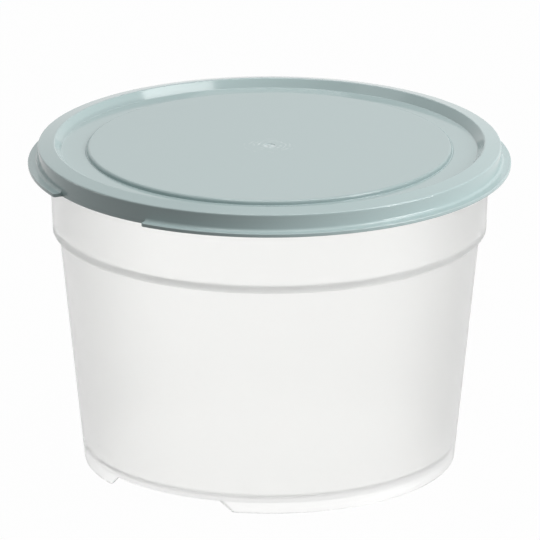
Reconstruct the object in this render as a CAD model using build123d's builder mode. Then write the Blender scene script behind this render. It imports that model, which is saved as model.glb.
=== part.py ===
from build123d import *
import os
from math import cos, hypot, radians, tan

# Round dough proofing container with a press-on lid, in millimetres.
# Z is up, the origin is the middle of the underside, and the lid is closed.
# Both pieces are injection mouldings of even wall: each is one line through its
# section, given its wall by a one-sided offset, turned about Z and then cut.
# The container is sized from the foot up, and the lid from the container's rim.

# Container: base, foot ring and tapered body
container_wall = 1.9
foot_radius = 96.6
foot_height = 5.8
foot_wall = 1.8
foot_draft_angle = 5.0
body_draft_angle = 5.8
floor_corner_chamfer = 2.2

# Container: shoulder, collar and the out-turned rim with its turned-down edge
shoulder_height = 123.9
shoulder_step = 3.2
shoulder_edge_chamfer = 0.5
ledge_corner_chamfer = 1.3
collar_draft_angle = 2.2
rim_height = 166.6
rim_angle = 12.1
rim_hollow_width = 1.3
rim_edge_depth = 3.6
rim_edge_chamfer = 0.5

# Container: cut-outs in the foot ring, opposite each other
foot_gap_count = 2
foot_gap_direction = -124.6
foot_gap_width = 64.2
foot_gap_end_angle = 46.0
foot_gap_corner_radius = 1.2

# Lid: rim over the container's rim, skirt, and the lip that fingers pull on
lid_wall = 2.0
skirt_draft_angle = 3.2
lid_rim_edge_chamfer = 0.8
crest_chamfer = 0.6
lip_drop = 8.4
lip_width = 4.7
lip_root_chamfer = 1.0
lip_edge_chamfer = 0.4

# Lid: groove for the foot of a container stacked on top, and the raised panel inside it
plug_angle = 39.6
groove_depth = 4.6
panel_rise = 2.1
panel_edge_chamfer = 1.0
panel_draft_angle = 8.0

# Lid: gaps in the lip, opposite each other
lip_gap_count = 2
lip_gap_direction = -136.8
lip_gap_angle = 30.5
lip_gap_corner_radius = 1.5

# Fits: lid on rim, bead under the rim's turned-down edge, and foot around the panel
seat_clearance = 0.3
rim_clearance = 0.6
plug_clearance = 0.3
stack_clearance = 0.3
bead_clearance = 0.3
bead_drop = 0.4
bead_height = 2.4

# Gate marks left by the moulding, in the middle of the panel and of the underside
gate_mark_radius = 3.0
gate_mark_depth = 0.25
gate_stub_radius = 0.9

# How far cuts run past the surfaces that they open
cut_overrun = 4.0
full_turn = 360

body_slope = tan(radians(body_draft_angle))
collar_slope = tan(radians(collar_draft_angle))
foot_slope = tan(radians(foot_draft_angle))
rim_slope = tan(radians(rim_angle))
skirt_slope = tan(radians(skirt_draft_angle))
plug_slope = tan(radians(plug_angle))


def body_radius(height):
    """Outer radius of the foot and body, one straight taper from the ground up."""
    return foot_radius + height * body_slope


def collar_radius(height):
    """Outer radius of the collar, a taper that starts one step out from the body."""
    return body_radius(shoulder_height) + shoulder_step + (height - shoulder_height) * collar_slope


def rim_top(radius):
    """Height of the container's rim, which slopes up from its outer edge inwards."""
    return rim_height + (rim_radius - radius) * rim_slope


def lid_rim_top(radius):
    """Height of the lid's rim, one clearance and one wall above the container's rim."""
    return rim_top(radius) + seat_clearance + lid_wall * hypot(1, rim_slope)


def skirt_radius(height):
    """Outer radius of the lid's skirt, which widens downwards from the rim's edge."""
    return lid_rim_radius + (lid_rim_top(lid_rim_radius) - height) * skirt_slope


def plug_radius(height):
    """Radius of the groove's sloping wall, which reaches down inside the container's mouth."""
    wall_reach = plug_clearance + lid_wall * hypot(1, plug_slope)
    return mouth_radius - wall_reach + (height - rim_top(mouth_radius)) * plug_slope


def axis_distance(vertex):
    """How far a vertex is from the axis."""
    return hypot(vertex.X, vertex.Y)


def outward_plane(direction, distance):
    """An upright plane at a distance from the axis, facing out at an angle about Z."""
    outward = Vector(1, 0, 0).rotate(Axis.Z, direction)
    sideways = Vector(0, 1, 0).rotate(Axis.Z, direction)
    return Plane(origin=outward * distance, x_dir=sideways, z_dir=outward)


# Container: outside of the wall, from the middle of the base to the rim's turned-down edge
neck_radius = collar_radius(rim_height)
mouth_radius = neck_radius - container_wall
rim_hollow_radius = neck_radius + rim_hollow_width
rim_radius = rim_hollow_radius + container_wall
rim_drop = container_wall * hypot(1, rim_slope)
rim_edge_height = rim_height - rim_edge_depth
container_line = [
    (0, foot_height),
    (body_radius(foot_height), foot_height),
    (body_radius(shoulder_height), shoulder_height),
    (collar_radius(shoulder_height), shoulder_height),
    (neck_radius, rim_top(neck_radius) - rim_drop),
    (rim_hollow_radius, rim_top(rim_hollow_radius) - rim_drop),
    (rim_hollow_radius, rim_edge_height),
]
floor_height = foot_height + container_wall
ledge_height = shoulder_height + container_wall
container_chamfers = [
    (body_radius(floor_height) - container_wall, floor_height, floor_corner_chamfer),
    (collar_radius(shoulder_height), shoulder_height, shoulder_edge_chamfer),
    (collar_radius(ledge_height) - container_wall, ledge_height, ledge_corner_chamfer),
    (mouth_radius, rim_top(mouth_radius), rim_edge_chamfer),
    (rim_radius, rim_height, rim_edge_chamfer),
]

with BuildPart() as container:
    with BuildSketch(Plane.XZ) as container_section:
        with BuildLine():
            Polyline(*container_line)
            offset(amount=container_wall, side=Side.LEFT, kind=Kind.INTERSECTION)
        make_face()
        for radius, height, length in container_chamfers:
            chamfer(container_section.vertices().sort_by_distance((radius, height))[0], length)
    revolve(axis=Axis.Z)

    # Foot ring, whose outside carries on the body's taper down to the ground
    foot_inner_radius = foot_radius - foot_wall
    foot_line = [
        (foot_radius, 0),
        (body_radius(foot_height), foot_height),
        (foot_inner_radius - foot_height * foot_slope, foot_height),
        (foot_inner_radius, 0),
    ]
    with BuildSketch(Plane.XZ):
        with BuildLine():
            Polyline(*foot_line, close=True)
        make_face()
    revolve(axis=Axis.Z)

    # Cut-outs in the foot ring, wider at the ground, each straight through to the outside
    gap_top = foot_gap_width / 2
    gap_foot = gap_top + foot_height * tan(radians(foot_gap_end_angle))
    gap_line = [
        (-gap_foot - cut_overrun, -cut_overrun),
        (-gap_foot - cut_overrun, 0),
        (-gap_foot, 0),
        (-gap_top, foot_height),
        (gap_top, foot_height),
        (gap_foot, 0),
        (gap_foot + cut_overrun, 0),
        (gap_foot + cut_overrun, -cut_overrun),
    ]
    for turn in range(foot_gap_count):
        gap_direction = foot_gap_direction + turn * full_turn / foot_gap_count
        with BuildSketch(outward_plane(gap_direction, foot_radius / 2)) as gap_section:
            with BuildLine():
                Polyline(*gap_line, close=True)
            make_face()
            for side in (-1, 1):
                for corner in ((side * gap_foot, 0), (side * gap_top, foot_height)):
                    fillet(gap_section.vertices().sort_by_distance(corner)[0], foot_gap_corner_radius)
        extrude(amount=foot_radius, mode=Mode.SUBTRACT)

    # Gate mark in the middle of the underside: a ring-shaped dent around the gate's stub
    with BuildSketch(Plane.XY.offset(foot_height)):
        Circle(gate_mark_radius)
        Circle(gate_stub_radius, mode=Mode.SUBTRACT)
    extrude(amount=gate_mark_depth, mode=Mode.SUBTRACT)

container.part.label = "container"

# Lid: rim, skirt and lip, outwards and down from the container's rim
lid_rim_radius = rim_radius + rim_clearance + lid_wall * hypot(1, skirt_slope)
lid_rim_height = lid_rim_top(lid_rim_radius)
lip_height = lid_rim_height - lip_drop
lip_root_radius = skirt_radius(lip_height)
lip_radius = lip_root_radius + lip_width

# The crest is where the groove's wall, carried upwards, meets the rim's slope
plug_rise = lid_rim_height - rim_top(mouth_radius) + lid_rim_radius * rim_slope
crest_radius = (plug_radius(rim_top(mouth_radius)) + plug_rise * plug_slope) / (1 + rim_slope * plug_slope)
crest_height = lid_rim_top(crest_radius)

# Groove and panel: the panel fits inside the foot ring of a container stacked on the lid
groove_height = crest_height - groove_depth
groove_radius = plug_radius(groove_height)
panel_height = groove_height + panel_rise
panel_foot_reach = foot_inner_radius - stack_clearance
panel_radius = panel_foot_reach - panel_rise * tan(radians(panel_draft_angle))

# Lid: top of the wall, from the middle of the panel to the lip's edge
lid_line = [
    (0, panel_height),
    (panel_radius, panel_height),
    (panel_foot_reach, groove_height),
    (groove_radius, groove_height),
    (crest_radius, crest_height),
    (lid_rim_radius, lid_rim_height),
    (lip_root_radius, lip_height),
    (lip_radius, lip_height),
]
lid_chamfers = [
    (panel_radius, panel_height, panel_edge_chamfer),
    (crest_radius, crest_height, crest_chamfer),
    (lid_rim_radius, lid_rim_height, lid_rim_edge_chamfer),
    (lip_root_radius, lip_height, lip_root_chamfer),
    (lip_radius, lip_height, lip_edge_chamfer),
    (lip_radius, lip_height - lid_wall, lip_edge_chamfer),
]

with BuildPart() as lid:
    with BuildSketch(Plane.XZ) as lid_section:
        with BuildLine():
            Polyline(*lid_line)
            offset(amount=lid_wall, side=Side.RIGHT, kind=Kind.INTERSECTION)
        make_face()
        for radius, height, length in lid_chamfers:
            chamfer(lid_section.vertices().sort_by_distance((radius, height))[0], length)
        # Snap bead on the inside of the skirt, under the rim's turned-down edge
        bead_top = rim_edge_height - bead_drop
        bead_foot = bead_top - bead_height
        with BuildLine():
            Polyline(
                (skirt_radius(bead_top) - lid_wall / 2, bead_top),
                (skirt_radius(bead_top) - lid_wall, bead_top),
                (rim_radius + bead_clearance, (bead_top + bead_foot) / 2),
                (skirt_radius(bead_foot) - lid_wall, bead_foot),
                (skirt_radius(bead_foot) - lid_wall / 2, bead_foot),
                close=True,
            )
        make_face()
    revolve(axis=Axis.Z)

    # Outline seen from above: the lip's gaps go in as far as the plain skirt, and the
    # lip's ends have rounded corners
    gap_reach = (lip_radius + cut_overrun) / cos(radians(lip_gap_angle / 2))
    with BuildSketch(Plane.XY.offset(lip_height - lid_wall - cut_overrun)) as lid_outline:
        Circle(lip_radius)
        Circle(lip_root_radius, mode=Mode.SUBTRACT)
        for turn in range(lip_gap_count):
            gap_direction = lip_gap_direction + turn * full_turn / lip_gap_count
            with BuildLine():
                Polyline(
                    (0, 0),
                    Vector(gap_reach, 0).rotate(Axis.Z, gap_direction - lip_gap_angle / 2),
                    Vector(gap_reach, 0).rotate(Axis.Z, gap_direction + lip_gap_angle / 2),
                    close=True,
                )
            make_face(mode=Mode.SUBTRACT)
        fillet(lid_outline.vertices().group_by(axis_distance)[-1], lip_gap_corner_radius)
        Circle(lip_root_radius)
    extrude(amount=crest_height, mode=Mode.INTERSECT)

    # Gate mark in the middle of the panel: a ring-shaped dent around the gate's stub
    with BuildSketch(Plane.XY.offset(panel_height)):
        Circle(gate_mark_radius)
        Circle(gate_stub_radius, mode=Mode.SUBTRACT)
    extrude(amount=-gate_mark_depth, mode=Mode.SUBTRACT)

lid.part.label = "lid"

os.makedirs("parts", exist_ok=True)
for piece in (container, lid):
    export_step(piece.part, f"parts/{piece.part.label}.step")
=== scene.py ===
"""Dough proofing container with a press-on lid: its surfaces, its plastics and the studio around it."""
from math import cos, pi, radians, sin, tan

import bmesh
import bpy
import numpy as np
from bpy.props import FloatProperty, FloatVectorProperty, PointerProperty
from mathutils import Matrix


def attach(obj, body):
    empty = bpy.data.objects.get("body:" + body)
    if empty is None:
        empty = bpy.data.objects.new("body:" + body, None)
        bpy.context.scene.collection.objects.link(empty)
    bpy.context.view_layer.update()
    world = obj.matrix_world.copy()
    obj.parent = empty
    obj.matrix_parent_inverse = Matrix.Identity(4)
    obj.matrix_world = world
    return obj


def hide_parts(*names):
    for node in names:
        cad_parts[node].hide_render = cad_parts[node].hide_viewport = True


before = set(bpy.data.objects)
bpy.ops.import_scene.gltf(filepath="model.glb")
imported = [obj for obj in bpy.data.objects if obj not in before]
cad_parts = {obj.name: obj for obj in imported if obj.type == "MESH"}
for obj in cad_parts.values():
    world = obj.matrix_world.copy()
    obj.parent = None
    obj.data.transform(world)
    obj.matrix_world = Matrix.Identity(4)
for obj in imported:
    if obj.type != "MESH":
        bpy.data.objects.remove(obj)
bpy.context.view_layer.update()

bl_info = {
    "name": "Dough proofing container",
    "version": (1, 0, 0),
    "blender": (4, 5, 0),
    "location": "3D View > Sidebar > Proofing",
    "description": "A round proofing container, its press-on lid, and a studio to see them in",
    "category": "Object",
}

MM = 0.001

# How finely the sections are turned about the axis
COLUMN_COUNT = 360
COLUMN_SPACING = 2 * pi / COLUMN_COUNT
LEAST_COLUMN_SHARE = 0.4  # an even column nearer than this share of a spacing to a close one is dropped
END_COLUMNS = 12  # along each rounded end of the lip
FOOT_END_COLUMNS = 22  # along each sloping end of a cut-out in the foot ring
END_STEP = 0.02 * MM  # from the lip's end to the first column in its gap
PAST_CORNER = 1.4  # where the last close column stands, in corner radii from the lip's end
SETTLING_ROUNDS = 3  # the foot ring leans, so its radius and the cut-out's height settle in rounds

# How its corners are rounded and its doubles merged
CORNER_STEPS = 7
GUARD = 0.1 * MM  # distance of a guard point from its arc
GUARD_SHARE = 0.4  # and at most this share of the run that it stands on
MERGE_DISTANCE = 0.003 * MM
SLIVER = 0.001 * MM  # what is left of a form where it is cut away
TINY = 1e-12
SHARP_ANGLE = radians(32)

# Points of the container's outer line and of the lid's upper line
SHOULDER_ROOT, NECK, RIM_EDGE = 2, 4, 6
PANEL_EDGE, PANEL_FOOT, GROOVE, RIM, LIP_ROOT, LIP_EDGE = 1, 2, 3, 5, 6, 7

# Polypropylene
POLYPROPYLENE_IOR = 1.49
BUMP_DEPTH = 0.4 * MM
NATURAL_WAVE = 55.6 * MM  # length of the shrinkage waves in the container
NATURAL_WAVE_STRENGTH = 0.02
LID_WAVE = 26.3 * MM  # length of the shrinkage waves in the lid
LID_WAVE_STRENGTH = 0.05

# Scuffs round the lid's gate: threads in rings, broken into patches, and a pale edge on the mark.
# Real threads are well under a millimetre apart, and are drawn coarser here so that they show.
THREAD_SPACING = 2.417 * MM
RINGS_PER_TURN = 20  # the wave texture's sine runs at 20 times its scale
THREAD_SHARE = (0.7, 1.0)  # part of each wave that shows as a thread
THREAD_BEND = 5.0  # how far the threads leave their rings
THREAD_BREAK = 2.5  # how finely they do so, over the rings' own scale
PATCH_SIZE = 6.25 * MM
PATCH_SHARE = (0.45, 0.6)  # part of the noise that shows as patches
SCUFFED = (2 * MM, 15 * MM)  # radii between which the threads fade out
SCUFF_STRENGTH = 0.6
MARK_EDGE = (2.5 * MM, 3.8 * MM)  # radii between which the mark's pale edge fades out
MARK_STRENGTH = 0.45

# Milkiness of the container's thick rings, by the height over the base plate and over the shoulder
BASE_RING = ((0.4, 0.0), (1.3, 0.25), (2.2, 0.25), (3.4, 0.0))
SHOULDER_RING = ((-0.2, 0.0), (0.2, 0.4), (0.9, 0.25), (2.0, 0.42), (2.7, 0.05), (3.9, 0.45), (4.5, 0.0))
MILK_BOUNCED = 0.2  # share of the milk's light that comes back, while the rest goes through
PLATE_FADE = (1 * MM, 2 * MM)  # heights over the base plate between which its smoothness ends
PLATE_LEVEL = (0.9, 1.0)  # how level a face is where it starts to count as the plate, and all through

# Studio
FLOOR_HALF = 30.0
FLOOR_HEIGHT = -0.0001
PAPER_COLOUR = "9A9A9A"
WORLD_LEVEL = 0.05
LIGHT_BOUNCES = 64
LAMP_DISTANCE = 2.5
LAMP_AIM = 0.15
LAMPS = {  # azimuth from +X and elevation in degrees, width and height in metres, level of the face
    "key": (-18, 53, 1.3, 0.85, 6.2),
    "right_front": (-25, 30, 1.1, 0.8, 5.2),
    "right_front_low": (-20, 1.5, 1.3, 0.3, 23.0),
    "right": (0, 30, 1.1, 0.8, 1.0),
    "overhead": (0, 89.9, 1.5, 1.5, 4.1),
    "back": (90, 55, 1.1, 1.0, 0.3),
    "left": (180, 55, 1.1, 1.0, 0.7),
    "left_low": (170, 1.5, 1.3, 0.3, 7.5),
}


def length(name, description, millimetres):
    """A length given in millimetres, as a property in metres."""
    return FloatProperty(name=name, description=description, default=millimetres * MM,
                         unit="LENGTH", precision=5)


def turn(name, description, degrees):
    """An angle given in degrees, as a property in radians."""
    return FloatProperty(name=name, description=description, default=radians(degrees), subtype="ANGLE")


def linear(hex_colour):
    """The sRGB hex colour as three linear values, by the sRGB transfer curve."""
    values = np.array([int(hex_colour[i:i + 2], 16) for i in (0, 2, 4)]) / 255
    return tuple(np.where(values <= 0.04045, values / 12.92, ((values + 0.055) / 1.055) ** 2.4))


def tint(name, description, hex_colour):
    """A colour given in sRGB hex, as a linear colour property."""
    return FloatVectorProperty(name=name, description=description, default=linear(hex_colour),
                               subtype="COLOR", size=3, min=0, max=1)


def share(name, description, default):
    """A number from 0 to 1."""
    return FloatProperty(name=name, description=description, default=default,
                         min=0, max=1, subtype="FACTOR")


class ContainerSizes(bpy.types.PropertyGroup):
    """Sizes of the container, from the foot up"""
    wall: length("Wall", "Thickness of the container's wall", 1.9)
    foot_radius: length("Foot radius", "Outer radius of the foot ring on the ground", 96.6)
    foot_height: length("Foot height", "Height of the underside over the ground", 5.8)
    foot_wall: length("Foot wall", "Thickness of the foot ring on the ground", 1.8)
    foot_draft: turn("Foot draft", "Slope of the foot ring's inside", 5)
    body_draft: turn("Body draft", "Taper of the body", 5.8)
    shoulder_height: length("Shoulder height", "Height of the step between body and collar", 123.9)
    shoulder_step: length("Shoulder step", "Width of the step between body and collar", 3.2)
    collar_draft: turn("Collar draft", "Taper of the collar", 2.2)
    rim_height: length("Rim height", "Height of the rim's outer edge", 166.6)
    rim_angle: turn("Rim angle", "Slope of the rim's top", 12.1)
    rim_hollow_width: length("Rim hollow", "Gap between collar and the rim's turned-down edge", 1.3)
    rim_edge_depth: length("Rim edge depth", "How far the rim's edge turns down", 3.6)
    gap_direction: turn("Foot gap direction", "Where the first cut-out of the foot ring is", -124.6)
    gap_width: length("Foot gap width", "Width of a cut-out at its top", 64.2)
    gap_end_angle: turn("Foot gap end angle", "Slope of a cut-out's ends", 46)
    gap_corner: length("Foot gap corner", "Corner radius of a cut-out", 1.2)
    foot_edge: length("Foot edge", "Edge radius of the foot ring", 0.4)
    floor_corner: length("Floor corner", "Radius between floor and wall inside", 3)
    shoulder_edge: length("Shoulder edge", "Radius of the shoulder's lower edge", 0.8)
    shoulder_hollow: length("Shoulder hollow", "Radius under the shoulder", 0.6)
    ledge_corner: length("Ledge corner", "Radius between the ledge and the collar inside", 2)
    ledge_edge: length("Ledge edge", "Radius of the ledge's inner edge", 0.9)
    rim_edge: length("Rim edge", "Edge radius of the rim", 0.7)


class LidSizes(bpy.types.PropertyGroup):
    """Sizes of the lid, which is worked out from the container's rim"""
    wall: length("Wall", "Thickness of the lid's wall", 2)
    skirt_draft: turn("Skirt draft", "Taper of the skirt", 3.2)
    lip_drop: length("Lip drop", "How far the lip is under the rim's edge", 8.4)
    lip_width: length("Lip width", "How far the lip stands out", 4.7)
    plug_angle: turn("Plug angle", "Slope of the groove's outer wall", 39.6)
    groove_depth: length("Groove depth", "Depth of the groove under the crest", 4.6)
    panel_rise: length("Panel rise", "Height of the panel over the groove", 2.1)
    panel_draft: turn("Panel draft", "Taper of the panel's edge", 8)
    gap_direction: turn("Lip gap direction", "Where the first gap of the lip is", -136.8)
    gap_angle: turn("Lip gap angle", "How wide a gap of the lip is", 30.5)
    gap_corner: length("Lip gap corner", "Corner radius of the lip's ends seen from above", 1.5)
    seat_clearance: length("Seat clearance", "Air between the rims' tops", 0.3)
    rim_clearance: length("Rim clearance", "Air around the container's rim", 0.6)
    plug_clearance: length("Plug clearance", "Air inside the container's mouth", 0.3)
    stack_clearance: length("Stack clearance", "Air around the panel in a stacked foot ring", 0.3)
    bead_clearance: length("Bead clearance", "Air between snap bead and rim", 0.3)
    bead_drop: length("Bead drop", "How far the snap bead is under the rim's edge", 0.4)
    bead_height: length("Bead height", "Height of the snap bead", 2.4)
    panel_edge: length("Panel edge", "Edge radius of the panel", 1.5)
    dip_depth: length("Dip depth", "How far the groove dips round the panel's foot", 0.45)
    dip_width: length("Dip width", "How wide that dip is", 1.0)
    dip_corner: length("Dip corner", "Corner radius of the dip", 0.3)
    groove_corner: length("Groove corner", "Corner radius of the groove", 0.8)
    crest_edge: length("Crest edge", "Radius of the crest", 1)
    rim_edge: length("Rim edge", "Edge radius of the rim", 0.9)
    lip_root: length("Lip root", "Radius between skirt and lip", 1.5)
    lip_edge: length("Lip edge", "Edge radius of the lip", 0.45)
    lip_end_edge: length("Lip end edge", "Edge radius of the lip's ends", 0.3)
    inner_corner: length("Inner corner", "Radius of the lid's inner corners", 0.4)
    plug_corner: length("Plug corner", "Radius of the plug's lower corner", 2)


class GateMarkSizes(bpy.types.PropertyGroup):
    """Sizes of the mark that the gate leaves on each piece"""
    radius: length("Mark radius", "Outer radius of the dent", 3)
    depth: length("Mark depth", "Depth of the dent", 0.25)
    stub: length("Stub radius", "Radius of the gate's stub in the dent", 0.9)
    edge: length("Mark edge", "Edge radius of the dent", 0.12)


class Finishes(bpy.types.PropertyGroup):
    """Colours and gloss of the two plastics"""
    lid_colour: tint("Lid colour", "Grey-green of the lid", "ABBDBD")
    scuff_colour: tint("Scuff colour", "Rubbed and stressed plastic round the gate", "E4EEEE")
    container_colour: tint("Container colour", "Natural polypropylene", "FFFFFE")
    lid_roughness: share("Lid roughness", "How matt the lid is", 0.1)
    container_roughness: share("Container roughness", "How blurred things look through the wall", 0.32)
    base_roughness: share("Base roughness", "How blurred they look through the base", 0.08)


class Studio(bpy.types.PropertyGroup):
    """The camera and the floor's glow"""
    camera_distance: length("Camera distance", "How far in front of the axis the camera stands", 4500)
    camera_height: length("Camera height", "Height of the camera over the floor", 1582.8)
    camera_tilt: turn("Camera tilt", "How far the camera looks down", 18.24)
    camera_lens: FloatProperty(name="Lens", description="Focal length in mm for a 36 mm sensor",
                               default=608.13, min=1)
    camera_shift: FloatProperty(name="Shift", description="Sideways shift of the picture", default=0.0009)
    floor_glow: share("Floor glow", "How much of the floor's white doesn't dim in shadow", 0.985)


class Proofing(bpy.types.PropertyGroup):
    """All the settings"""
    container: PointerProperty(type=ContainerSizes)
    lid: PointerProperty(type=LidSizes)
    mark: PointerProperty(type=GateMarkSizes)
    finishes: PointerProperty(type=Finishes)
    studio: PointerProperty(type=Studio)


def walled(line, wall):
    """The line's parallel at one wall's distance to its left: each point moves along the sum of the
    normals of its two runs, times twice the wall over that sum's square."""
    runs = np.diff(line, axis=0)
    normals = np.stack([-runs[:, 1], runs[:, 0]], 1) / np.hypot(runs[:, 0], runs[:, 1])[:, None]
    both = np.vstack([normals[:1], normals]) + np.vstack([normals, normals[-1:]])
    return line + 2 * wall * both / (both ** 2).sum(1)[:, None]


def unit(vectors):
    """Vectors over their lengths, and their lengths."""
    lengths = np.linalg.norm(vectors, axis=-1)
    return vectors / np.maximum(lengths, TINY)[..., None], lengths


def rounded(corners, radii):
    """Section lines with round corners. Each arc's centre is on its corner's bisector, a radius over
    the cosine of half the turn away. Radii shrink together where a run is too short for its two arcs.
    A guard point stands before and after each arc, so that flat stretches are shaded flat.
    corners has the columns first, then the corners, then radius and height."""
    directions, lengths = unit(np.diff(corners, axis=1))
    back, ahead = directions[:, :-1], directions[:, 1:]
    half = np.arccos(np.clip((back * ahead).sum(-1), -1, 1)) / 2
    wanted = np.pad(radii * np.tan(half), ((0, 0), (1, 1)))
    wanted = wanted[:, :-1] + wanted[:, 1:]
    fit = np.clip((lengths - 2 * GUARD) / np.maximum(wanted, TINY), 0, 1)
    radii = radii * np.minimum(fit[:, :-1], fit[:, 1:])
    reach = radii * np.tan(half)
    inward, along = unit(ahead - back)[0], unit(ahead + back)[0]
    turns = np.linspace(-1, 1, CORNER_STEPS + 1)[:, None] * half[:, None]
    outset = (1 / np.cos(half)[:, None] - np.cos(turns)) * radii[:, None]
    sideways = np.sin(turns) * radii[:, None]
    arcs = outset[..., None] * inward[:, None] + sideways[..., None] * along[:, None]
    spare = np.minimum(GUARD, lengths * GUARD_SHARE)
    start = (reach + spare[:, :-1])[..., None] * back
    end = (reach + spare[:, 1:])[..., None] * ahead
    arcs = np.concatenate([-start[:, None], arcs, end[:, None]], 1)
    inner = (corners[:, None, 1:-1] + arcs).transpose(0, 2, 1, 3).reshape(len(corners), -1, 2)
    return np.concatenate([corners[:, :1], inner, corners[:, -1:]], 1)


def column_angles(close):
    """Angles of the section planes: even ones all round, and the close ones among them."""
    even = np.arange(COLUMN_COUNT) * COLUMN_SPACING
    nearest = np.abs((even[:, None] - close[None] + pi) % (2 * pi) - pi).min(1)
    kept = even[nearest > LEAST_COLUMN_SHARE * COLUMN_SPACING]
    return np.sort(np.concatenate([kept, close % (2 * pi)]))


def from_gap(angles, direction):
    """Angle between each section plane and the nearer of two opposite gaps."""
    return np.abs((angles - direction + pi / 2) % pi - pi / 2)


def gap_columns(direction, offsets):
    """Angles at these offsets to both sides of two opposite gaps."""
    centres = direction + np.array([0, pi])
    return (centres[:, None, None] + np.array([-1, 1])[:, None] * offsets).ravel()


def repeated(points, columns):
    """The same section points for every column."""
    return np.broadcast_to(np.array(points, float), (columns, len(points), 2)).copy()


def gate_mark(height, into, mark):
    """Corners of the dent around the gate's stub, from the axis outwards."""
    return [(0, height), (mark.stub, height), (mark.stub, height + into * mark.depth),
            (mark.radius, height + into * mark.depth), (mark.radius, height)]


def revolved(name, angles, sections):
    """A closed surface: x and y are each section point's radius times the cosine and sine of its
    column's angle, z is its height, and neighbouring columns are joined by quads."""
    points = np.empty((*sections.shape[:2], 3))
    points[..., 0] = sections[..., 0] * np.cos(angles)[:, None]
    points[..., 1] = sections[..., 0] * np.sin(angles)[:, None]
    points[..., 2] = sections[..., 1]
    columns, rows = sections.shape[:2]
    first = np.arange(columns)[:, None] * rows + np.arange(rows - 1)
    after = np.roll(first, -1, axis=0)
    quads = np.stack([first, after, after + 1, first + 1], -1).reshape(-1, 4)
    mesh = bpy.data.meshes.new(name)
    mesh.from_pydata(points.reshape(-1, 3), [], quads)
    shell = bmesh.new()
    shell.from_mesh(mesh)
    bmesh.ops.remove_doubles(shell, verts=shell.verts, dist=MERGE_DISTANCE)
    bmesh.ops.dissolve_degenerate(shell, dist=MERGE_DISTANCE / 2, edges=shell.edges)
    bmesh.ops.recalc_face_normals(shell, faces=shell.faces)
    shell.to_mesh(mesh)
    shell.free()
    mesh.shade_smooth()
    mesh.set_sharp_from_angle(angle=SHARP_ANGLE)
    piece = bpy.data.objects.new(name, mesh)
    bpy.context.scene.collection.objects.link(piece)
    return piece


def body_radius(c, height):
    """Outer radius of the foot and body, one straight taper from the ground up."""
    return c.foot_radius + height * tan(c.body_draft)


def container_line(c):
    """Outside of the container's wall, from the middle of the base to the rim's turned-down edge."""
    collar = body_radius(c, c.shoulder_height) + c.shoulder_step
    neck = collar + (c.rim_height - c.shoulder_height) * tan(c.collar_draft)
    hollow = neck + c.rim_hollow_width
    rim = hollow + c.wall
    drop = c.wall / cos(c.rim_angle)
    slope = tan(c.rim_angle)
    return np.array([
        (0, c.foot_height),
        (body_radius(c, c.foot_height), c.foot_height),
        (body_radius(c, c.shoulder_height), c.shoulder_height),
        (collar, c.shoulder_height),
        (neck, c.rim_height + (rim - neck) * slope - drop),
        (hollow, c.rim_height + (rim - hollow) * slope - drop),
        (hollow, c.rim_height - c.rim_edge_depth),
    ])


def foot_bottom(c, sideways):
    """Height of the foot ring's underside by the distance sideways from a cut-out's middle: the
    cut-out's outline, level, sloping and level again beyond the ring, with round corners."""
    top = c.gap_width / 2
    foot = top + c.foot_height * tan(c.gap_end_angle)
    outline = np.array([[(0, c.foot_height), (top, c.foot_height), (foot, 0), (c.foot_radius * 2, 0)]])
    outline = rounded(outline, np.array([c.gap_corner, c.gap_corner]))[0]
    return np.interp(sideways, outline[:, 0], outline[:, 1])


def make_container(c, mark):
    """The container: its section's corners in every column, with the foot ring's underside raised
    where the cut-outs are, then rounded and turned."""
    slope_start = c.gap_width / 2 - c.gap_corner
    slope_end = c.gap_width / 2 + c.foot_height * tan(c.gap_end_angle) + c.gap_corner
    sideways = np.linspace(slope_start, slope_end, FOOT_END_COLUMNS)
    angles = column_angles(gap_columns(c.gap_direction, np.arcsin(sideways / c.foot_radius)))
    outer = container_line(c)
    inner = walled(outer, c.wall)[::-1]
    foot_inside = c.foot_radius - c.foot_wall
    middle = gate_mark(c.foot_height, 1, mark)
    ring = [(foot_inside - c.foot_height * tan(c.foot_draft), c.foot_height),
            (foot_inside, 0), (c.foot_radius, 0)]
    corners = repeated([*middle, *ring, *outer[SHOULDER_ROOT:], *inner], len(angles))
    radii = np.array([
        *[mark.edge] * 4, *[c.foot_edge] * 3,
        c.shoulder_hollow, c.shoulder_edge, c.shoulder_hollow, c.rim_edge / 2, c.rim_edge / 2,
        *[c.rim_edge] * 3, c.ledge_corner, c.ledge_edge, c.floor_corner,
    ])
    apart = np.sin(from_gap(angles, c.gap_direction))
    inside, outside = len(middle) + 1, len(middle) + 2
    highest = c.foot_height - SLIVER
    for corner, slope in ((inside, -tan(c.foot_draft)), (outside, tan(c.body_draft))):
        ground = corners[:, corner, 0].copy()
        for _ in range(SETTLING_ROUNDS):
            height = np.minimum(foot_bottom(c, corners[:, corner, 0] * apart), highest)
            corners[:, corner, 0] = ground + height * slope
        corners[:, corner, 1] = height
    return revolved("container_shell", angles, rounded(corners, radii))


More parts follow.
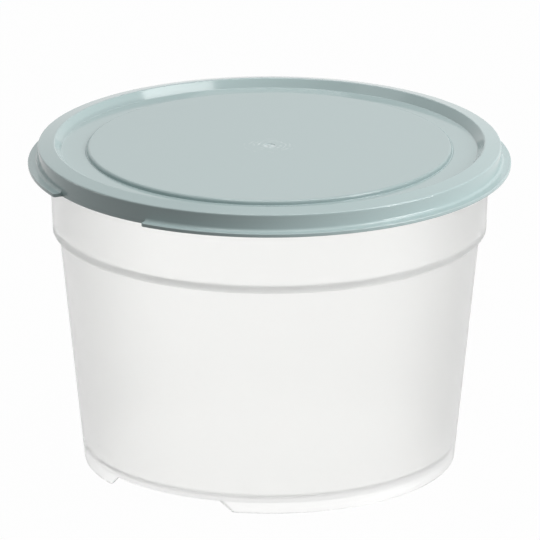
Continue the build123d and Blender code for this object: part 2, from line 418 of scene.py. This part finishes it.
def lid_lines(c, s):
    """Top and underside of the lid's wall, from the middle of the panel to the lip's edge, worked out
    from the container's rim as the lid sits on it, and that rim's radius."""
    outer = container_line(c)
    mouth, rim = outer[NECK, 0] - c.wall, outer[RIM_EDGE, 0] + c.wall
    slope, steep, skirt = tan(c.rim_angle), tan(s.plug_angle), tan(s.skirt_draft)
    mouth_top = c.rim_height + (rim - mouth) * slope
    rim_radius = rim + s.rim_clearance + s.wall / cos(s.skirt_draft)
    rim_height = c.rim_height + (rim - rim_radius) * slope + s.seat_clearance + s.wall / cos(c.rim_angle)
    plug = mouth - s.plug_clearance - s.wall / cos(s.plug_angle)
    crest = plug + (rim_height - mouth_top + rim_radius * slope) * steep
    crest = crest / (1 + slope * steep)
    crest_height = rim_height + (rim_radius - crest) * slope
    groove = crest_height - s.groove_depth
    panel = groove + s.panel_rise
    panel_foot = c.foot_radius - c.foot_wall - s.stack_clearance
    lip_height = rim_height - s.lip_drop
    lip_root = rim_radius + s.lip_drop * skirt
    top = np.array([
        (0, panel),
        (panel_foot - s.panel_rise * tan(s.panel_draft), panel),
        (panel_foot, groove),
        (plug + (groove - mouth_top) * steep, groove),
        (crest, crest_height),
        (rim_radius, rim_height),
        (lip_root, lip_height),
        (lip_root + s.lip_width, lip_height),
    ])
    return top, walled(top, -s.wall), rim


def make_lid(c, s, mark):
    """The lid: its section's corners in every column, with the lip drawn in where its gaps are, then
    rounded and turned. Seen from above, an end of the lip is a quarter circle of the gap's corner."""
    top, under, rim = lid_lines(c, s)
    half = s.gap_angle / 2
    quarter = 1 - np.cos(np.linspace(0, pi / 2, END_COLUMNS))
    past = np.concatenate([
        [-s.lip_end_edge, -s.lip_end_edge / 2, -END_STEP],
        quarter * s.gap_corner,
        [s.gap_corner * PAST_CORNER],
    ])
    angles = column_angles(gap_columns(s.gap_direction, half + past / top[LIP_EDGE, 0]))
    past = (from_gap(angles, s.gap_direction) - half) * top[LIP_EDGE, 0]
    there = past > -END_STEP / 2
    inset = s.gap_corner - np.clip(past, 0, s.gap_corner)
    reach = s.lip_width - s.gap_corner + np.sqrt(s.gap_corner ** 2 - inset ** 2)
    reach = np.where(there, reach, SLIVER)
    inset = s.lip_end_edge - np.clip(past, 0, s.lip_end_edge)
    inset = np.where(there, s.lip_end_edge - np.sqrt(s.lip_end_edge ** 2 - inset ** 2), 0)

    bead_top = c.rim_height - c.rim_edge_depth - s.bead_drop
    bead_foot = bead_top - s.bead_height
    bead_heights = np.array([bead_foot, bead_top])
    skirt_inside = under[RIM, 0] + (under[RIM, 1] - bead_heights) * tan(s.skirt_draft)
    bead = [(skirt_inside[0], bead_foot),
            (rim + s.bead_clearance, bead_heights.sum() / 2),
            (skirt_inside[1], bead_top)]
    middle = gate_mark(top[0, 1], -1, mark)
    dip = [top[PANEL_FOOT] + (s.dip_depth * tan(s.panel_draft), -s.dip_depth),
           top[PANEL_FOOT] + (s.dip_width, 0)]
    corners = repeated([*middle, top[PANEL_EDGE], *dip, *top[GROOVE:],
                        under[LIP_EDGE], under[LIP_ROOT], *bead, *under[RIM::-1]], len(angles))
    radii = np.array([
        *[mark.edge] * 4,
        s.panel_edge, s.dip_corner, s.dip_corner, s.groove_corner, s.crest_edge, s.rim_edge, s.lip_root,
        s.lip_edge, s.lip_edge, s.inner_corner, s.inner_corner, 2 * s.inner_corner, s.inner_corner,
        s.inner_corner, s.inner_corner, s.plug_corner, s.inner_corner, s.inner_corner,
    ])
    # From the groove on, a corner stands as far after the mark as its point does in the upper line
    root, edge, lower = len(middle) + np.array([LIP_ROOT, LIP_EDGE, LIP_EDGE + 1])
    corners[:, [root, edge], 1] -= inset[:, None]
    corners[:, lower, 1] += inset
    corners[:, edge, 0] = corners[:, lower, 0] = corners[:, root, 0] + reach
    radii = np.repeat(radii[None], len(angles), 0)
    radii[:, lower - 1] = np.where(there, s.lip_edge, np.clip(-past, 0, s.lip_end_edge))
    return revolved("lid_shell", angles, rounded(corners, radii))


def add(tree, kind, inputs=None, **settings):
    """Adds one node: settings are its own, and inputs are numbers, colours or the sockets that feed it."""
    node = tree.nodes.new(kind)
    for key, value in settings.items():
        setattr(node, key, value)
    for key, value in (inputs or {}).items():
        if isinstance(value, bpy.types.NodeSocket):
            tree.links.new(value, node.inputs[key])
        else:
            node.inputs[key].default_value = value
    return node


def new_material(name):
    """An empty node material and its tree."""
    material = bpy.data.materials.new(name)
    material.use_nodes = True
    material.node_tree.nodes.clear()
    return material, material.node_tree


def finish_material(tree, surface):
    """Puts the surface on the material's output."""
    add(tree, "ShaderNodeOutputMaterial", {"Surface": surface})


def opaque_polypropylene(f):
    """Pigmented polypropylene, injection moulded in a polished tool. To the eye it is smooth and
    glossy, with a faint waviness from shrinkage, and pale broken swirls round the gate, where the
    plastic is stressed and rubbed."""
    material, tree = new_material("grey_green_polypropylene_glossy")
    place = add(tree, "ShaderNodeTexCoord").outputs["Object"]
    waves = add(tree, "ShaderNodeTexNoise", {
        "Vector": place, "Scale": 1 / LID_WAVE, "Detail": 1.0,
    }).outputs[0]
    bump = add(tree, "ShaderNodeBump", {
        "Height": waves, "Strength": LID_WAVE_STRENGTH, "Distance": BUMP_DEPTH,
    })

    flat = add(tree, "ShaderNodeMapping", {"Vector": place, "Scale": (1, 1, 0)}).outputs[0]
    swirls = add(tree, "ShaderNodeTexWave", {
        "Vector": flat, "Scale": 2 * pi / (RINGS_PER_TURN * THREAD_SPACING),
        "Distortion": THREAD_BEND, "Detail": 2.0, "Detail Scale": THREAD_BREAK,
    }, wave_type="RINGS", rings_direction="Z")
    threads = add(tree, "ShaderNodeMapRange", {
        "Value": swirls.outputs[1], "From Min": THREAD_SHARE[0], "From Max": THREAD_SHARE[1],
    })
    patches = add(tree, "ShaderNodeTexNoise", {
        "Vector": flat, "Scale": 1 / PATCH_SIZE, "Detail": 2.0,
    }).outputs[0]
    patches = add(tree, "ShaderNodeMapRange", {
        "Value": patches, "From Min": PATCH_SHARE[0], "From Max": PATCH_SHARE[1],
    })
    far = add(tree, "ShaderNodeVectorMath", {0: flat}, operation="LENGTH").outputs["Value"]
    near_gate = add(tree, "ShaderNodeMapRange", {
        "Value": far, "From Min": SCUFFED[0], "From Max": SCUFFED[1],
        "To Min": SCUFF_STRENGTH, "To Max": 0.0,
    })
    at_gate = add(tree, "ShaderNodeMapRange", {
        "Value": far, "From Min": MARK_EDGE[0], "From Max": MARK_EDGE[1],
        "To Min": MARK_STRENGTH, "To Max": 0.0,
    })
    scuffs = add(tree, "ShaderNodeMath", {0: threads.outputs[0], 1: patches.outputs[0]}, operation="MULTIPLY")
    scuffs = add(tree, "ShaderNodeMath", {0: scuffs.outputs[0], 1: near_gate.outputs[0]}, operation="MULTIPLY")
    scuffs = add(tree, "ShaderNodeMath", {0: scuffs.outputs[0], 1: at_gate.outputs[0]}, operation="MAXIMUM")
    colour = add(tree, "ShaderNodeMix", {
        0: scuffs.outputs[0], 6: (*f.lid_colour, 1), 7: (*f.scuff_colour, 1),
    }, data_type="RGBA")
    surface = add(tree, "ShaderNodeBsdfPrincipled", {
        "Base Color": colour.outputs[2],
        "Roughness": f.lid_roughness,
        "IOR": POLYPROPYLENE_IOR,
        "Normal": bump.outputs[0],
    })
    finish_material(tree, surface.outputs[0])
    return material


def natural_polypropylene(c, f):
    """Unpigmented polypropylene, injection moulded. To the eye its walls let light through and blur
    what is behind them, its base plate is smoother and blurs less, and it is milky in the thick rings
    at the shoulder and round the base, which scatter light."""
    material, tree = new_material("natural_polypropylene_milky")
    place = add(tree, "ShaderNodeTexCoord").outputs["Object"]
    waves = add(tree, "ShaderNodeTexNoise", {
        "Vector": place, "Scale": 1 / NATURAL_WAVE, "Detail": 1.0,
    }).outputs[0]
    bump = add(tree, "ShaderNodeBump", {
        "Height": waves, "Strength": NATURAL_WAVE_STRENGTH, "Distance": BUMP_DEPTH,
    })

    normal = add(tree, "ShaderNodeTexCoord").outputs["Normal"]
    upward = add(tree, "ShaderNodeSeparateXYZ", {0: normal}).outputs["Z"]
    level = add(tree, "ShaderNodeMath", {0: upward}, operation="ABSOLUTE")
    height = add(tree, "ShaderNodeSeparateXYZ", {0: place}).outputs["Z"]
    share_of_height = add(tree, "ShaderNodeMath", {0: height, 1: c.rim_height}, operation="DIVIDE")
    rings = add(tree, "ShaderNodeValToRGB", {"Fac": share_of_height.outputs[0]})
    plate_top = c.foot_height + c.wall
    stops = [(plate_top + over * MM, amount) for over, amount in BASE_RING]
    stops += [(c.shoulder_height + over * MM, amount) for over, amount in SHOULDER_RING]
    ramp = rings.color_ramp.elements
    while len(ramp) < len(stops):
        ramp.new(0.5)
    for stop, (at, amount) in zip(ramp, stops):
        stop.position = at / c.rim_height
        stop.color = (amount, amount, amount, 1)
    steep = add(tree, "ShaderNodeMath", {0: 1.0, 1: level.outputs[0]}, operation="SUBTRACT")
    milkiness = add(tree, "ShaderNodeMath", {0: rings.outputs[0], 1: steep.outputs[0]}, operation="MULTIPLY")

    low = add(tree, "ShaderNodeMapRange", {
        "Value": height, "From Min": plate_top + PLATE_FADE[0], "From Max": plate_top + PLATE_FADE[1],
        "To Min": 1.0, "To Max": 0.0,
    })
    plate = add(tree, "ShaderNodeMath", {0: level.outputs[0], 1: low.outputs[0]}, operation="MULTIPLY")
    matt = add(tree, "ShaderNodeMapRange", {
        "Value": plate.outputs[0], "From Min": PLATE_LEVEL[0], "From Max": PLATE_LEVEL[1],
        "To Min": f.container_roughness, "To Max": f.base_roughness,
    })
    skin = add(tree, "ShaderNodeBsdfPrincipled", {
        "Base Color": (*f.container_colour, 1),
        "Roughness": matt.outputs[0],
        "IOR": POLYPROPYLENE_IOR,
        "Transmission Weight": 1.0,
        "Normal": bump.outputs[0],
    })
    through = add(tree, "ShaderNodeBsdfTranslucent", {"Color": (*f.container_colour, 1)})
    back = add(tree, "ShaderNodeBsdfDiffuse", {"Color": (*f.container_colour, 1)})
    milk = add(tree, "ShaderNodeMixShader", {0: MILK_BOUNCED, 1: through.outputs[0], 2: back.outputs[0]})
    mixed = add(tree, "ShaderNodeMixShader", {
        0: milkiness.outputs[0], 1: skin.outputs[0], 2: milk.outputs[0],
    })
    finish_material(tree, mixed.outputs[0])
    return material


def seen_directly(tree):
    """1 on camera, glossy and transmission rays, and 0 on the others, which light the object."""
    path = add(tree, "ShaderNodeLightPath")
    seen = add(tree, "ShaderNodeMath", {
        0: path.outputs["Is Camera Ray"], 1: path.outputs["Is Glossy Ray"],
    }, operation="ADD")
    return add(tree, "ShaderNodeMath", {0: seen.outputs[0], 1: path.outputs["Is Transmission Ray"]},
               operation="ADD", use_clamp=True).outputs[0]


def floor_material(studio):
    """White studio paper: it glows for rays that see it, so that it is white, and keeps part of the
    object's shadow."""
    material, tree = new_material("white_studio_paper")
    paper = add(tree, "ShaderNodeBsdfDiffuse", {"Color": (*linear(PAPER_COLOUR), 1)})
    glow = add(tree, "ShaderNodeEmission", {"Color": (1, 1, 1, 1), "Strength": 1.0})
    amount = add(tree, "ShaderNodeMath", {0: seen_directly(tree), 1: studio.floor_glow}, operation="MULTIPLY")
    mixed = add(tree, "ShaderNodeMixShader", {0: amount.outputs[0], 1: paper.outputs[0], 2: glow.outputs[0]})
    finish_material(tree, mixed.outputs[0])
    material.cycles.emission_sampling = "NONE"
    return material


def add_floor(scene, studio):
    """The pale floor, one flat face just under the foot ring."""
    corners = np.array([(-1, -1), (1, -1), (1, 1), (-1, 1)]) * FLOOR_HALF
    mesh = bpy.data.meshes.new("floor")
    mesh.from_pydata([(x, y, FLOOR_HEIGHT) for x, y in corners], [], [(0, 1, 2, 3)])
    floor = bpy.data.objects.new("floor", mesh)
    floor.data.materials.append(floor_material(studio))
    scene.collection.objects.link(floor)


def add_lamps(scene):
    """The soft lamps, each turned to the object. A face of level L gives L times its area times pi."""
    for name, (azimuth, elevation, width, height, level) in LAMPS.items():
        a, e = radians(azimuth), radians(elevation)
        away = np.array([cos(a) * cos(e), sin(a) * cos(e), sin(e)])
        light = bpy.data.lights.new(name, "AREA")
        light.shape = "RECTANGLE"
        light.size, light.size_y = width, height
        light.energy = level * width * height * pi
        lamp = bpy.data.objects.new(name, light)
        lamp.location = away * LAMP_DISTANCE + (0, 0, LAMP_AIM)
        lamp.rotation_euler = (pi / 2 - e, 0, a + pi / 2)
        scene.collection.objects.link(lamp)


def add_world(scene):
    """A world that is white to rays that see it, and lights the object faintly."""
    world = bpy.data.worlds.new("studio")
    world.use_nodes = True
    tree = world.node_tree
    tree.nodes.clear()
    level = add(tree, "ShaderNodeMapRange", {
        "Value": seen_directly(tree), "To Min": WORLD_LEVEL, "To Max": 1.0,
    })
    sky = add(tree, "ShaderNodeBackground", {"Color": (1, 1, 1, 1), "Strength": level.outputs[0]})
    add(tree, "ShaderNodeOutputWorld", {"Surface": sky.outputs[0]})
    world.cycles.sampling_method = "NONE"
    scene.world = world


def add_camera(scene, studio):
    """The camera, in front of the object and looking down at it."""
    camera = bpy.data.cameras.new("camera")
    camera.lens, camera.shift_x = studio.camera_lens, studio.camera_shift
    camera.clip_end = 2 * FLOOR_HALF
    seat = bpy.data.objects.new("camera", camera)
    seat.location = (0, -studio.camera_distance, studio.camera_height)
    seat.rotation_euler = (pi / 2 - studio.camera_tilt, 0, 0)
    scene.collection.objects.link(seat)
    scene.camera = seat


class OBJECT_OT_proofing_container(bpy.types.Operator):
    """Add the container"""
    bl_idname = "object.proofing_container_add"
    bl_label = "Container"

    def execute(self, context):
        p = context.scene.proofing
        piece = make_container(p.container, p.mark)
        piece.data.materials.append(natural_polypropylene(p.container, p.finishes))
        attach(piece, "container")
        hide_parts("container")
        return {"FINISHED"}


class OBJECT_OT_proofing_lid(bpy.types.Operator):
    """Add the press-on lid"""
    bl_idname = "object.proofing_lid_add"
    bl_label = "Lid"

    def execute(self, context):
        p = context.scene.proofing
        piece = make_lid(p.container, p.lid, p.mark)
        piece.data.materials.append(opaque_polypropylene(p.finishes))
        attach(piece, "lid")
        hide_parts("lid")
        return {"FINISHED"}


class SCENE_OT_proofing_studio(bpy.types.Operator):
    """Add the floor, the lamps, the world and the camera"""
    bl_idname = "scene.proofing_studio_add"
    bl_label = "Studio"

    def execute(self, context):
        scene = context.scene
        studio = scene.proofing.studio
        add_floor(scene, studio)
        add_lamps(scene)
        add_world(scene)
        add_camera(scene, studio)
        scene.view_settings.view_transform = "Standard"
        scene.cycles.max_bounces = LIGHT_BOUNCES
        scene.cycles.transmission_bounces = LIGHT_BOUNCES
        scene.cycles.glossy_bounces = LIGHT_BOUNCES
        return {"FINISHED"}


class VIEW3D_PT_proofing(bpy.types.Panel):
    """Sizes, finishes and studio of the proofing container"""
    bl_label = "Proofing container"
    bl_space_type = "VIEW_3D"
    bl_region_type = "UI"
    bl_category = "Proofing"

    def draw(self, context):
        layout = self.layout
        for operator in OPERATORS:
            layout.operator(operator.bl_idname)
        for group in Proofing.__annotations__:
            box = layout.box()
            box.label(text=group.capitalize())
            values = getattr(context.scene.proofing, group)
            for key in type(values).__annotations__:
                box.prop(values, key)


OPERATORS = (OBJECT_OT_proofing_container, OBJECT_OT_proofing_lid, SCENE_OT_proofing_studio)
CLASSES = (ContainerSizes, LidSizes, GateMarkSizes, Finishes, Studio, Proofing,
           *OPERATORS, VIEW3D_PT_proofing)


def register():
    """Registers the classes and puts the settings on the scene."""
    for each in CLASSES:
        bpy.utils.register_class(each)
    bpy.types.Scene.proofing = PointerProperty(type=Proofing)


def unregister():
    """Takes the settings and the classes away."""
    del bpy.types.Scene.proofing
    for each in reversed(CLASSES):
        bpy.utils.unregister_class(each)


def main():
    """Makes every piece and the studio."""
    register()
    bpy.ops.object.proofing_container_add()
    bpy.ops.object.proofing_lid_add()
    bpy.ops.scene.proofing_studio_add()


if __name__ == "__main__":
    main()
